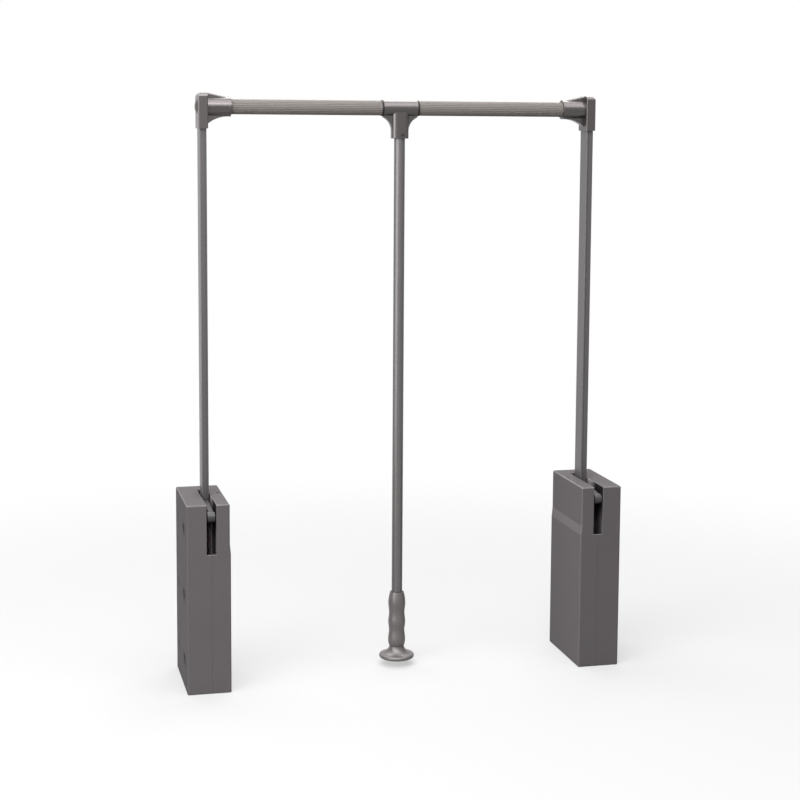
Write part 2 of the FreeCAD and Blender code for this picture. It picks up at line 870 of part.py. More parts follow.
def elbow_cap():
    # a shallow dome on the outer side, over the screw
    outer = arm_x - elbow_width / 2
    dome_radius = (cap_radius ** 2 + cap_dome ** 2) / (2 * cap_dome)
    ball = Part.makeSphere(dome_radius, Vector(outer + dome_radius - cap_dome, pivot_y, rod_height))
    dome = ball.common(rod_x(cap_radius, outer - cap_dome - 1, outer))
    plug = rod_x(cap_plug_radius, outer, outer + cap_plug_depth)
    return dome.fuse(plug).removeSplitter()


def elbow_screw():
    head_start = arm_x - elbow_width / 2 + cap_plug_depth
    head = rod_x(elbow_screw_head_radius, head_start, head_start + elbow_screw_head_height)
    shank = rod_x(elbow_screw_radius, head_start, tube_start_x + elbow_screw_bite)
    drive = rod_x(elbow_screw_radius * drive_share, head_start, head_start + elbow_screw_head_height / 2)
    return head.fuse(shank).cut(drive)


# ---- cross rod ----

def cross_tube():
    # the outside has shallow flutes along its length, so that hangers don't slip
    edges = []
    step = 2 * math.pi / flute_count
    half_crest = step / 4
    for flute in range(flute_count):
        middle = flute * step
        start = tube_point(tube_radius, middle - half_crest)
        top = tube_point(tube_radius, middle)
        end = tube_point(tube_radius, middle + half_crest)
        bottom = tube_point(tube_radius - flute_depth, middle + step / 2)
        following = tube_point(tube_radius, middle + step - half_crest)
        edges.append(Part.Arc(start, top, end).toShape())
        edges.append(Part.Arc(end, bottom, following).toShape())
    tube = Part.Face(Part.Wire(edges)).extrude(Vector(tube_end_x - tube_start_x, 0, 0))
    return tube.cut(rod_x(tube_bore_radius, tube_start_x - 1, tube_end_x + 1))


def tube_point(radius, turn):
    return Vector(tube_start_x, pivot_y + radius * math.sin(turn), rod_height + radius * math.cos(turn))


def tube_plug():
    plug = rod_x(tube_bore_radius, tube_start_x, tube_start_x + plug_length)
    return plug.cut(rod_x(elbow_screw_radius, tube_start_x - 1, tube_start_x + elbow_screw_bite))


def tube_end_bush():
    flange = rod_x(bush_flange_radius, tube_end_x, flange_x)
    sleeve = rod_x(tube_bore_radius, tube_end_x - bush_sleeve_length, tube_end_x)
    bore = rod_x(sliding_bore, tube_end_x - bush_sleeve_length - 1, flange_x + 1)
    rims = [edge for edge in flange.Edges if isinstance(edge.Curve, Part.Circle)]
    return flange.makeFillet(bush_edge_radius, rims).fuse(sleeve).cut(bore)


def inner_tube():
    end = inner_tube_half
    tube = rod_x(inner_tube_radius, -end, end)
    return tube.cut(rod_x(inner_tube_radius - inner_tube_wall, -end - 1, end + 1))


# ---- tee ----

def tee_gussets():
    # a flat web joins barrel and stem in a hollow curve on both sides
    side = tee_length / 2
    under = rod_height - bush_flange_radius
    stem = tee_stem_width / 2
    curve_low = under - tee_gusset_radius
    web_front = pivot_y - tee_web_depth / 2
    web = block(-side, side, web_front, web_front + tee_web_depth, curve_low, rod_height)
    for direction in (-1, 1):
        centre = Vector(direction * (stem + tee_gusset_radius), pivot_y - tee_web_depth, curve_low)
        hollow = Part.makeCylinder(tee_gusset_radius, 2 * tee_web_depth, centre, Vector(0, 1, 0))
        web = web.cut(hollow)
    return web


def tee_connector():
    side = tee_length / 2
    barrel = rod_x(bush_flange_radius, -side, side)
    low = rod_height - tee_drop
    stem = rounded_bar(tee_stem_width, tee_stem_depth, tee_stem_corner, low, rod_height, 0, pivot_y)
    foot = [edge for edge in stem.Edges if all(abs(v.Z - low) < tolerance for v in edge.Vertexes)]
    stem = stem.makeFillet(tee_edge_radius, foot)
    body = barrel.multiFuse([stem, tee_gussets()])
    recesses = []
    for direction in (-1, 1):
        start = direction * side
        end = direction * (side - ring_recess_depth)
        recesses.append(rod_x(ring_recess_radius, min(start, end), max(start, end)))
    body = body.cut(recesses + [rod_x(sliding_bore, -side - 1, side + 1)])
    body = body.cut(rod_z(pull_radius + socket_gap, low - 1, pull_top))
    return body.cut(tee_screw_solid(0)).removeSplitter()


def tee_screw_solid(drive_depth):
    # turned from the front towards the right, and sunk so that its head clears the stem's flat front
    turn = math.radians(tee_screw_turn)
    outward = Vector(math.sin(turn), -math.cos(turn), 0)
    height = rod_height - tee_drop + tee_screw_rise
    sunk = tee_screw_head_radius * math.tan(turn) + lead_in
    reach = tee_stem_depth / 2 / math.cos(turn) - sunk
    start = Vector(0, pivot_y, height) + outward * reach
    outer_end = start + outward * 2 * sunk
    inward = outward * -1
    head = Part.makeCylinder(tee_screw_head_radius, tee_screw_head_height + 2 * sunk, outer_end, inward)
    shank = Part.makeCylinder(tee_screw_radius, reach - pull_radius + pull_wall, start, inward)
    screw = head.fuse(shank)
    if drive_depth:
        trim = Part.makeCylinder(tee_screw_head_radius + 1, 3 * sunk, start, outward)
        drive = Part.makeCylinder(tee_screw_radius * drive_share, drive_depth, start, inward)
        screw = screw.cut(trim).cut(drive)
    return screw


def tee_screw():
    return tee_screw_solid(tee_screw_head_height / 2)


def tee_retaining_rings():
    rings = []
    near = tee_length / 2 - ring_recess_depth + body_gap
    for direction in (-1, 1):
        start = direction * near
        end = direction * (near + ring_thickness)
        ring = rod_x(ring_radius, min(start, end), max(start, end))
        rings.append(ring.cut(rod_x(inner_tube_radius, min(start, end) - 1, max(start, end) + 1)))
    return Part.makeCompound(rings)


# ---- pull rod and grip ----

def pull_tube():
    tube = rod_z(pull_radius, pull_bottom, pull_top)
    tube = tube.cut(rod_z(pull_radius - pull_wall, pull_bottom - 1, pull_top + 1))
    return tube.cut(tee_screw_solid(0))


def grip_side():
    # three bulges for the fingers, the top one longer than the others
    points = [Vector(grip_neck_radius, 0, grip_neck_height)]
    for bulge in range(grip_bulges - 1):
        low = grip_neck_height + bulge * grip_pitch
        points.append(Vector(grip_bulge_radius, 0, low + grip_pitch / 2))
        points.append(Vector(grip_waist_radius, 0, low + grip_pitch))
    points.append(Vector(grip_bulge_radius, 0, grip_top_bulge_height))
    points.append(Vector(grip_waist_radius, 0, grip_length - grip_shoulder_drop))
    points.append(Vector(grip_mouth_radius, 0, grip_length))
    side = Part.BSplineCurve()
    side.interpolate(points)
    return side


def grip():
    # the foot is a rounded disc with a hollow flare up to the neck
    rim_start = Vector(grip_rim_radius - grip_rim_height / 2, 0, grip_rim_height)
    rim_bottom = Vector(rim_start.x, 0, 0)
    rim_middle = Vector(grip_rim_radius, 0, grip_rim_height / 2)
    neck = Vector(grip_neck_radius, 0, grip_neck_height)
    mouth_edge = Vector(grip_mouth_radius, 0, grip_length)
    edges = [
        Part.LineSegment(Vector(0, 0, 0), rim_bottom).toShape(),
        Part.Arc(rim_bottom, rim_middle, rim_start).toShape(),
        hollow_arc(rim_start, neck, grip_flare_radius).toShape(),
        grip_side().toShape(),
        Part.LineSegment(mouth_edge, Vector(0, 0, grip_length)).toShape(),
        Part.LineSegment(Vector(0, 0, grip_length), Vector(0, 0, 0)).toShape(),
    ]
    body = Part.Face(Part.Wire(edges)).revolve(Vector(0, 0, 0), Vector(0, 0, 1), 360)
    body = Part.Solid(body) if body.ShapeType == "Shell" else body
    body.translate(Vector(0, pivot_y, grip_floor_gap))
    mouth = rod_z(pull_radius + grip_mouth_gap, grip_top - grip_mouth_recess, grip_top + 1)
    bore = rod_z(pull_radius + socket_gap, pull_bottom, grip_top + 1)
    recess = rod_z(grip_recess_radius, grip_floor_gap - 1, grip_floor_gap + grip_recess_depth)
    screw_hole = rod_z(grip_screw_radius, grip_floor_gap, pull_bottom + 1)
    return body.cut([mouth, bore, recess, screw_hole]).removeSplitter()


def grip_plug():
    plug = rod_z(pull_radius - pull_wall, pull_bottom, pull_bottom + grip_plug_length)
    return plug.cut(rod_z(grip_screw_radius, pull_bottom - 1, pull_bottom + grip_screw_bite))


def grip_screw():
    head_top = grip_floor_gap + grip_recess_depth
    head_bottom = head_top - grip_screw_head_height
    head = rod_z(grip_screw_head_radius, head_bottom, head_top)
    shank = rod_z(grip_screw_radius, head_bottom, pull_bottom + grip_screw_bite)
    drive = rod_z(grip_screw_radius * drive_share, head_bottom, head_top - grip_screw_head_height / 2)
    return head.fuse(shank).cut(drive)


# ---- output ----

side_parts = {
    "base_shell": base_shell,
    "cover_shell": cover_shell,
    "cover_screws": cover_screws,
    "pivot_axle": pivot_axle,
    "axle_lock_screw": axle_lock_screw,
    "stop_pin": stop_pin,
    "stop_buffer": stop_buffer,
    "spring_seat": spring_seat,
    "spring_guide_rod": spring_guide_rod,
    "compression_spring": compression_spring,
    "spring_plunger": spring_plunger,
    "roller_pin": roller_pin,
    "cam_roller": cam_roller,
    "arm_hub": arm_hub,
    "spring_cam": spring_cam,
    "arm_lever": arm_lever,
    "arm_rivets": arm_rivets,
    "arm_tube": arm_tube,
    "arm_elbow": arm_elbow,
    "elbow_arm_screw": elbow_arm_screw,
    "elbow_screw": elbow_screw,
    "elbow_cap": elbow_cap,
    "cross_tube": cross_tube,
    "tube_plug": tube_plug,
    "tube_end_bush": tube_end_bush,
}

middle_parts = {
    "inner_tube": inner_tube,
    "tee_retaining_rings": tee_retaining_rings,
    "tee_connector": tee_connector,
    "tee_screw": tee_screw,
    "pull_tube": pull_tube,
    "pull_grip": grip,
    "grip_plug": grip_plug,
    "grip_screw": grip_screw,
}


def write_part(name, shape):
    shape.exportStep("parts/" + name + ".step")
    print(name, len(shape.Solids), shape.isValid(), round(shape.Volume / 1000, 2))


os.makedirs("parts", exist_ok=True)
for name, make in side_parts.items():
    left = make()
    write_part("left_" + name, left)
    write_part("right_" + name, left.mirror(Vector(0, 0, 0), Vector(1, 0, 0)))
for name, make in middle_parts.items():
    write_part(name, make())
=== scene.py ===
import json
import math

import bpy
from mathutils import Matrix, Vector


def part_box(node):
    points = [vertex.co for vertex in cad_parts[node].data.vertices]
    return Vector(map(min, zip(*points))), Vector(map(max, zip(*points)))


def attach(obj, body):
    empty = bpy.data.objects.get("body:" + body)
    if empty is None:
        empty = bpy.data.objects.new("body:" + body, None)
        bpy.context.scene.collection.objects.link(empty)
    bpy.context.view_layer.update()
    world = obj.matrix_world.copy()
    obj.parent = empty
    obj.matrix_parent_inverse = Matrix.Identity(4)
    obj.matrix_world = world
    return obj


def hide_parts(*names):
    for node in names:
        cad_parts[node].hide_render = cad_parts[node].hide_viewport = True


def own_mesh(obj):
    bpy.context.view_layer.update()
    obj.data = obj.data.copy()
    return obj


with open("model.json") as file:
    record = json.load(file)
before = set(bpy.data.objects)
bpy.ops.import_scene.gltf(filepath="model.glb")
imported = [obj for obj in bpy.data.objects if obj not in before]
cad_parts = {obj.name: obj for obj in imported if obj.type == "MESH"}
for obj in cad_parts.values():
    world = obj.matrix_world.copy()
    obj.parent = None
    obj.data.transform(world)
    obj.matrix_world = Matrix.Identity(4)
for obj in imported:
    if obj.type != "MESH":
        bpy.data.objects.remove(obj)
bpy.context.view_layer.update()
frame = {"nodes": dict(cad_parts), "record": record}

nodes = frame["nodes"]
bpy.ops.object.select_all(action="DESELECT")
print("frame loaded,", len(nodes), "solid parts")


# building node trees

def newGroup(name, inputs, outputs):
    group = bpy.data.node_groups.new(name, "ShaderNodeTree")
    for label, kind, value in inputs:
        socket = group.interface.new_socket(label, in_out="INPUT", socket_type=kind)
        socket.default_value = value
    for label, kind in outputs:
        group.interface.new_socket(label, in_out="OUTPUT", socket_type=kind)
    return group


def addNode(tree, kind, place, **settings):
    node = tree.nodes.new(kind)
    node.location = place
    for key, value in settings.items():
        setattr(node, key, value)
    return node


def calc(tree, operation, place, *values):
    # a value is another node's output or a plain number
    node = addNode(tree, "ShaderNodeMath", place, operation=operation)
    for socket, value in zip(node.inputs, values):
        if isinstance(value, bpy.types.NodeSocket):
            tree.links.new(value, socket)
        else:
            socket.default_value = value
    return node.outputs[0]


def scaled(tree, vector, place, factor):
    node = addNode(tree, "ShaderNodeVectorMath", place, operation="SCALE")
    tree.links.new(vector, node.inputs[0])
    tree.links.new(factor, node.inputs["Scale"])
    return node.outputs["Vector"]


def unsigned(tree, vector, place):
    node = addNode(tree, "ShaderNodeVectorMath", place, operation="ABSOLUTE")
    tree.links.new(vector, node.inputs[0])
    return node.outputs["Vector"]


def lengthOf(tree, vector, place):
    node = addNode(tree, "ShaderNodeVectorMath", place, operation="LENGTH")
    tree.links.new(vector, node.inputs[0])
    return node.outputs["Value"]


def along(tree, vector, place):
    # the vector's X, Y and Z
    node = addNode(tree, "ShaderNodeSeparateXYZ", place)
    tree.links.new(vector, node.inputs[0])
    return node.outputs


def mapRange(tree, value, place, span, result, **settings):
    ramp = addNode(tree, "ShaderNodeMapRange", place, **settings)
    for label, number in zip(("From Min", "From Max", "To Min", "To Max"), (*span, *result)):
        ramp.inputs[label].default_value = number
    tree.links.new(value, ramp.inputs["Value"])
    return ramp.outputs["Result"]


def objectSpace(tree, place):
    return addNode(tree, "ShaderNodeTexCoord", place).outputs["Object"]


def noiseAt(tree, vector, place, scale, detail):
    noise = addNode(tree, "ShaderNodeTexNoise", place)
    noise.inputs["Scale"].default_value = scale
    noise.inputs["Detail"].default_value = detail
    tree.links.new(vector, noise.inputs["Vector"])
    return noise.outputs["Fac"]


def giveBump(group, give, place, strength, height, distance):
    bump = addNode(group, "ShaderNodeBump", place)
    bump.inputs["Distance"].default_value = distance
    group.links.new(strength, bump.inputs["Strength"])
    group.links.new(height, bump.inputs["Height"])
    group.links.new(bump.outputs["Normal"], give.inputs["Normal"])


# edge wear with a painted highlight, and painted light on gentle slopes

wearAndPaintedLight = {
    "radius": 0.0012,
    "samples": 6,
    "turning": (0.995, 0.90),  # how far a rounded normal agrees with the flat one
    "offAxis": (0.985, 0.85),  # the largest axis share in the normal of a box's edge
    "upward": (0.2, 0.7),
    "upwardWearAndHighlight": (0.25, 1),
    "patches": (90.0, 3),  # a noise's scale and detail
    "patchSpan": (0.35, 0.6),
    "patchWearAndHighlight": (0.6, 1),
    "litSlopes": ((0.02, 0), (0.07, 1), (0.3, 1), (0.5, 0)),
}


def makeEdgeGroup():
    # paint pale where a surface turns, most of all at the top, as edge wear with a painted
    # highlight, and paint gentle slopes lighter as painted light from above
    group = newGroup(
        "edgeWearAndHighlight",
        [("Square", "NodeSocketFloat", 0.0)],
        [("WearAndHighlight", "NodeSocketFloat"), ("SlopeLight", "NodeSocketFloat")],
    )
    take = addNode(group, "NodeGroupInput", (-1100, 0))
    give = addNode(group, "NodeGroupOutput", (900, 0))
    square = take.outputs["Square"]
    # on a casting, a rounded normal leaves the flat one
    rounded = addNode(group, "ShaderNodeBevel", (-800, 200), samples=wearAndPaintedLight["samples"])
    rounded.inputs["Radius"].default_value = wearAndPaintedLight["radius"]
    flat = addNode(group, "ShaderNodeNewGeometry", (-800, 0))
    agree = addNode(group, "ShaderNodeVectorMath", (-600, 100), operation="DOT_PRODUCT")
    group.links.new(rounded.outputs["Normal"], agree.inputs[0])
    group.links.new(flat.outputs["Normal"], agree.inputs[1])
    turn = mapRange(group, agree.outputs["Value"], (-400, 100), wearAndPaintedLight["turning"], (0, 1))
    plain = calc(group, "SUBTRACT", (200, 60), 1.0, square)
    cast = calc(group, "MULTIPLY", (380, 60), turn, plain)
    # on a box, which is square, every rounded edge has a normal off the three axes
    coords = addNode(group, "ShaderNodeTexCoord", (-1000, -250))
    size = unsigned(group, coords.outputs["Normal"], (-800, -250))
    axes = along(group, size, (-600, -250))
    across = calc(group, "MAXIMUM", (-400, -200), axes["X"], axes["Y"])
    most = calc(group, "MAXIMUM", (-200, -200), across, axes["Z"])
    corner = mapRange(group, most, (0, -200), wearAndPaintedLight["offAxis"], (0, 1))
    rise = along(group, coords.outputs["Normal"], (-600, -500))["Z"]
    upper = mapRange(group, rise, (-400, -500), wearAndPaintedLight["upward"], wearAndPaintedLight["upwardWearAndHighlight"])
    boxed = calc(group, "MULTIPLY", (200, -250), corner, upper)
    boxed = calc(group, "MULTIPLY", (380, -150), boxed, square)
    either = calc(group, "MAXIMUM", (540, 0), cast, boxed)
    patches = noiseAt(group, objectSpace(group, (200, 300)), (400, 300), *wearAndPaintedLight["patches"])
    broken = mapRange(group, patches, (600, 300), wearAndPaintedLight["patchSpan"], wearAndPaintedLight["patchWearAndHighlight"])
    # the edge mask lightens the paint, as edge wear and a painted highlight
    mask = calc(group, "MULTIPLY", (720, 100), either, broken)
    group.links.new(mask, give.inputs["WearAndHighlight"])
    # gentle slopes are painted lighter, as painted light from above
    slope = addNode(group, "ShaderNodeValToRGB", (-200, -700))
    stops = slope.color_ramp.elements  # a new ramp has two
    for index, (position, value) in enumerate(wearAndPaintedLight["litSlopes"]):
        stop = stops[index] if index < 2 else stops.new(position)
        stop.position = position
        stop.color = (value, value, value, 1)
    group.links.new(rise, slope.inputs["Fac"])
    slopeLight = calc(group, "MULTIPLY", (200, -600), slope.outputs["Color"], square)
    group.links.new(slopeLight, give.inputs["SlopeLight"])
    return group


# the arm slots' walls, alike on both sides

armSlot = {
    "middle": 0.2895,  # from the part's middle
    "halfWidth": (0.0074, 0.0080),
    "sideways": (0.9, 0.95),  # how far a wall's normal runs along X
    "paintedShadeHeight": (0.215, 0.245),
    "paintedShadeLevel": (1, 0.15),
    "paintedLightDepth": (-0.035, -0.012),
    "paintedLightGain": (1, 20),
}


def makeSlotGroup():
    # painted shade on the arm slots' walls near their top, and painted light deep inside them
    group = newGroup("slotShade", [], [("Shade", "NodeSocketFloat")])
    give = addNode(group, "NodeGroupOutput", (900, 0))
    coords = addNode(group, "ShaderNodeTexCoord", (-900, 0))
    facing = along(group, unsigned(group, coords.outputs["Normal"], (-700, 200)), (-500, 200))
    sideways = mapRange(group, facing["X"], (-300, 200), armSlot["sideways"], (0, 1))
    mirrored = along(group, unsigned(group, coords.outputs["Object"], (-700, -100)), (-500, -100))
    off = calc(group, "SUBTRACT", (-300, -100), mirrored["X"], armSlot["middle"])
    apart = calc(group, "ABSOLUTE", (-120, -100), off)
    within = mapRange(group, apart, (60, -100), armSlot["halfWidth"], (1, 0))
    wall = calc(group, "MULTIPLY", (240, 100), sideways, within)
    spot = along(group, coords.outputs["Object"], (-500, -350))
    height, depth = armSlot["paintedShadeHeight"], armSlot["paintedLightDepth"]
    # painted shade on the upper slot walls
    paintedShade = mapRange(group, spot["Z"], (-120, -350), height, armSlot["paintedShadeLevel"])
    # painted light deep inside the slots, up to twenty times brighter
    paintedLight = mapRange(group, spot["Y"], (-120, -600), depth, armSlot["paintedLightGain"])
    tone = calc(group, "MULTIPLY", (240, -400), paintedShade, paintedLight)
    shift = calc(group, "SUBTRACT", (420, -300), tone, 1.0)
    shade = calc(group, "MULTIPLY_ADD", (640, 0), shift, wall, 1.0)
    group.links.new(shade, give.inputs["Shade"])
    return group


# the sides against the closet's walls

wallSide = {
    "reach": (0.3236, 0.3246),  # from the part's middle
    "column": -0.0305,
    "lowestHole": 0.043,
    "holePitch": 0.096,
    "columnWeight": 0.6,  # under one, a painted hole shade is wider than it is high
    "holeShade": (0.001, 0.015),
    "holeShadeDepth": 0.45,
    "sideShade": 0.32,
}


def makeWallGroup():
    # painted shade over the side against the wall, darker still round each screw hole of its
    # front column
    group = newGroup("wallShade", [], [("Shade", "NodeSocketFloat")])
    give = addNode(group, "NodeGroupOutput", (1000, 0))
    coords = addNode(group, "ShaderNodeTexCoord", (-900, 0))
    spot = along(group, coords.outputs["Object"], (-700, 0))
    out = calc(group, "ABSOLUTE", (-500, 200), spot["X"])
    onWall = mapRange(group, out, (-300, 200), wallSide["reach"], (0, 1))
    # the distance to the column, and up it to the nearest hole
    inward = calc(group, "SUBTRACT", (-500, -100), spot["Y"], wallSide["column"])
    inward = calc(group, "ABSOLUTE", (-300, -100), inward)
    inward = calc(group, "MULTIPLY", (-100, -100), inward, wallSide["columnWeight"])
    upward = calc(group, "SUBTRACT", (-500, -300), spot["Z"], wallSide["lowestHole"])
    upward = calc(group, "PINGPONG", (-300, -300), upward, wallSide["holePitch"] / 2)
    away = addNode(group, "ShaderNodeCombineXYZ", (100, -200))
    group.links.new(inward, away.inputs["Y"])
    group.links.new(upward, away.inputs["Z"])
    distance = lengthOf(group, away.outputs[0], (260, -200))
    # painted shade round each screw hole
    holeShade = mapRange(group, distance, (420, -200), wallSide["holeShade"], (1, 0))
    dark = calc(
        group, "MULTIPLY_ADD", (600, -200), holeShade, wallSide["holeShadeDepth"], wallSide["sideShade"],
    )
    # the painted shade reaches only the wall side
    toneShift = calc(group, "MULTIPLY", (700, 0), dark, onWall)
    shade = calc(group, "SUBTRACT", (860, 0), 1.0, toneShift)
    group.links.new(shade, give.inputs["Shade"])
    return group


# what each surface group gives

surfaceOutputs = [
    ("Colour", "NodeSocketColor"),
    ("Roughness", "NodeSocketFloat"),
    ("Normal", "NodeSocketVector"),
]


# metallic paint

paintSurface = {
    "flakes": (2600.0, 1),  # a noise's scale and detail
    "clouds": (14.0, 3),
    "peel": (620.0, 2),
    "slopeLightGain": 0.28,
    "cloudSpan": (0.3, 0.7),
    "sheenSwing": (-0.03, 0.03),
    "wornSheen": -0.25,
    "peelHeight": 0.00006,
}


def makePaintGroup():
    # bright flakes, soft cloudiness, a faint orange peel, rubbed edges with a painted highlight,
    # and painted light on gentle slopes
    group = newGroup(
        "metallicPaint",
        [
            ("Colour", "NodeSocketColor", (0.2, 0.2, 0.2, 1)),
            ("Flake", "NodeSocketFloat", 0.12),
            ("Cloud", "NodeSocketFloat", 0.06),
            ("Gloss Base", "NodeSocketFloat", 0.42),
            ("Peel", "NodeSocketFloat", 0.15),
            ("Edge", "NodeSocketFloat", 0.3),
            ("Square", "NodeSocketFloat", 0.0),
        ],
        surfaceOutputs,
    )
    take = addNode(group, "NodeGroupInput", (-1000, 0))
    give = addNode(group, "NodeGroupOutput", (700, 0))
    space = objectSpace(group, (-800, 300))
    flakes = noiseAt(group, space, (-560, 420), *paintSurface["flakes"])
    clouds = noiseAt(group, space, (-560, 180), *paintSurface["clouds"])
    peel = noiseAt(group, space, (-560, -120), *paintSurface["peel"])
    flecked = calc(group, "SUBTRACT", (-340, 420), flakes, 0.5)
    flecked = calc(group, "MULTIPLY", (-160, 420), flecked, take.outputs["Flake"])
    clouded = calc(group, "SUBTRACT", (-340, 180), clouds, 0.5)
    clouded = calc(group, "MULTIPLY", (-160, 180), clouded, take.outputs["Cloud"])
    uneven = calc(group, "ADD", (20, 320), flecked, clouded)
    wearAndLight = addNode(group, "ShaderNodeGroup", (-340, 620), node_tree=edgeGroup)
    group.links.new(take.outputs["Square"], wearAndLight.inputs["Square"])
    # edge wear and a painted highlight, which lighten the colour and lower the roughness
    wearAndHighlight = calc(group, "MULTIPLY", (-160, 620), wearAndLight.outputs["WearAndHighlight"], take.outputs["Edge"])
    toneShift = calc(group, "ADD", (40, 520), uneven, wearAndHighlight)
    # the painted slope light lifts the colour
    slopeLit = calc(
        group, "MULTIPLY_ADD", (120, 680), wearAndLight.outputs["SlopeLight"], paintSurface["slopeLightGain"], 1.0,
    )
    lift = calc(group, "ADD", (220, 420), toneShift, slopeLit)
    tint = scaled(group, take.outputs["Colour"], (360, 320), lift)
    group.links.new(tint, give.inputs["Colour"])
    sheen = mapRange(
        group, clouds, (-160, 0), paintSurface["cloudSpan"], paintSurface["sheenSwing"],
    )
    rough = calc(group, "ADD", (180, 20), take.outputs["Gloss Base"], sheen)
    rough = calc(group, "MULTIPLY_ADD", (360, 20), wearAndHighlight, paintSurface["wornSheen"], rough)
    group.links.new(rough, give.inputs["Roughness"])
    giveBump(group, give, (360, -160), take.outputs["Peel"], peel, paintSurface["peelHeight"])
    return group


# drawn metal

drawnSurface = {
    "stretch": (0.04, 1, 1),
    "streaks": (1800.0, 2),
    "streakSpan": (0.2, 0.8),
    "sheenSwing": (-0.07, 0.07),
    "tarnish": (60.0, 4),
    "tarnishSpan": (0.3, 0.7),
    "tarnishShade": (0.86, 1.06),
    "streakHeight": 0.00004,
}


def makeDrawnGroup():
    # machined or drawn metal: fine streaks along one axis and a little tarnish
    group = newGroup(
        "drawnMetal",
        [
            ("Colour", "NodeSocketColor", (0.5, 0.5, 0.5, 1)),
            ("Streaks", "NodeSocketFloat", 0.15),
            ("Gloss Base", "NodeSocketFloat", 0.3),
        ],
        surfaceOutputs,
    )
    take = addNode(group, "NodeGroupInput", (-1000, 0))
    give = addNode(group, "NodeGroupOutput", (700, 0))
    space = objectSpace(group, (-1000, 200))
    drawn = addNode(group, "ShaderNodeMapping", (-780, 300))
    drawn.inputs["Scale"].default_value = drawnSurface["stretch"]
    group.links.new(space, drawn.inputs["Vector"])
    streaks = noiseAt(group, drawn.outputs["Vector"], (-560, 300), *drawnSurface["streaks"])
    tarnish = noiseAt(group, space, (-560, -100), *drawnSurface["tarnish"])
    shade = mapRange(
        group, tarnish, (-300, 120), drawnSurface["tarnishSpan"], drawnSurface["tarnishShade"],
    )
    tint = scaled(group, take.outputs["Colour"], (200, 260), shade)
    group.links.new(tint, give.inputs["Colour"])
    sheen = mapRange(
        group, streaks, (-300, -60), drawnSurface["streakSpan"], drawnSurface["sheenSwing"],
    )
    rough = calc(group, "ADD", (200, 0), take.outputs["Gloss Base"], sheen)
    group.links.new(rough, give.inputs["Roughness"])
    height = drawnSurface["streakHeight"]
    giveBump(group, give, (360, -200), take.outputs["Streaks"], streaks, height)
    return group


# moulded plastic and rubber

mouldedSurface = {
    "grain": (1500.0, 3),
    "bloom": (90.0, 3),
    "bloomSpan": (0.3, 0.7),
    "bloomShade": (0.85, 1.2),
    "sheenSwing": (-0.05, 0.05),
    "grainHeight": 0.00005,
}


def makeMouldedGroup():
    # fine spark-eroded grain and a dusty bloom
    group = newGroup(
        "mouldedGrain",
        [
            ("Colour", "NodeSocketColor", (0.05, 0.05, 0.05, 1)),
            ("Grain", "NodeSocketFloat", 0.25),
            ("Gloss Base", "NodeSocketFloat", 0.55),
        ],
        surfaceOutputs,
    )
    take = addNode(group, "NodeGroupInput", (-1000, 0))
    give = addNode(group, "NodeGroupOutput", (700, 0))
    space = objectSpace(group, (-800, 200))
    grain = noiseAt(group, space, (-560, 300), *mouldedSurface["grain"])
    bloom = noiseAt(group, space, (-560, 0), *mouldedSurface["bloom"])
    span = mouldedSurface["bloomSpan"]
    shade = mapRange(group, bloom, (-300, 120), span, mouldedSurface["bloomShade"])
    tint = scaled(group, take.outputs["Colour"], (200, 260), shade)
    group.links.new(tint, give.inputs["Colour"])
    sheen = mapRange(group, bloom, (-300, -60), span, mouldedSurface["sheenSwing"])
    rough = calc(group, "ADD", (200, 0), take.outputs["Gloss Base"], sheen)
    group.links.new(rough, give.inputs["Roughness"])
    height = mouldedSurface["grainHeight"]
    giveBump(group, give, (360, -200), take.outputs["Grain"], grain, height)
    return group


edgeGroup = makeEdgeGroup()
slotGroup = makeSlotGroup()
wallGroup = makeWallGroup()
paintGroup = makePaintGroup()
drawnGroup = makeDrawnGroup()
mouldedGroup = makeMouldedGroup()


# finishes

def finishMaterial(name, group, values, shine):
    # the values go into the surface group, and the shine into the shader itself
    material = bpy.data.materials.new(name)
    material.use_nodes = True
    tree = material.node_tree
    shader = tree.nodes["Principled BSDF"]
    for label, number in shine.items():
        shader.inputs[label].default_value = number
    effect = addNode(tree, "ShaderNodeGroup", (-320, 200), node_tree=group)
    effect.name = group.name
    for label, value in values.items():
        effect.inputs[label].default_value = value
    tree.links.new(effect.outputs["Colour"], shader.inputs["Base Color"])
    tree.links.new(effect.outputs["Roughness"], shader.inputs["Roughness"])
    tree.links.new(effect.outputs["Normal"], shader.inputs["Normal"])
    return material


def makeShellPaint():
    # the housings' matt paint, with painted shade and painted light in the arm slots and painted
    # shade on the wall side
    material = finishMaterial(
        "mochaShellPaint", paintGroup,
        {
            "Colour": (0.0650, 0.0596, 0.0616, 1), "Flake": 0.30, "Cloud": 0.10,
            "Gloss Base": 0.60, "Peel": 0.25, "Edge": 1.1, "Square": 1.0,
        },
        {"Metallic": 0.0, "Specular IOR Level": 0.04},
    )
    tree = material.node_tree
    slotShade = addNode(tree, "ShaderNodeGroup", (-520, 420), node_tree=slotGroup)
    wallShade = addNode(tree, "ShaderNodeGroup", (-520, 580), node_tree=wallGroup)
    shade = calc(
        tree, "MULTIPLY", (-320, 500), slotShade.outputs["Shade"], wallShade.outputs["Shade"],
    )
    painted = tree.nodes[paintGroup.name].outputs["Colour"]
    tone = scaled(tree, painted, (-140, 420), shade)
    tree.links.new(tone, tree.nodes["Principled BSDF"].inputs["Base Color"])
    return material


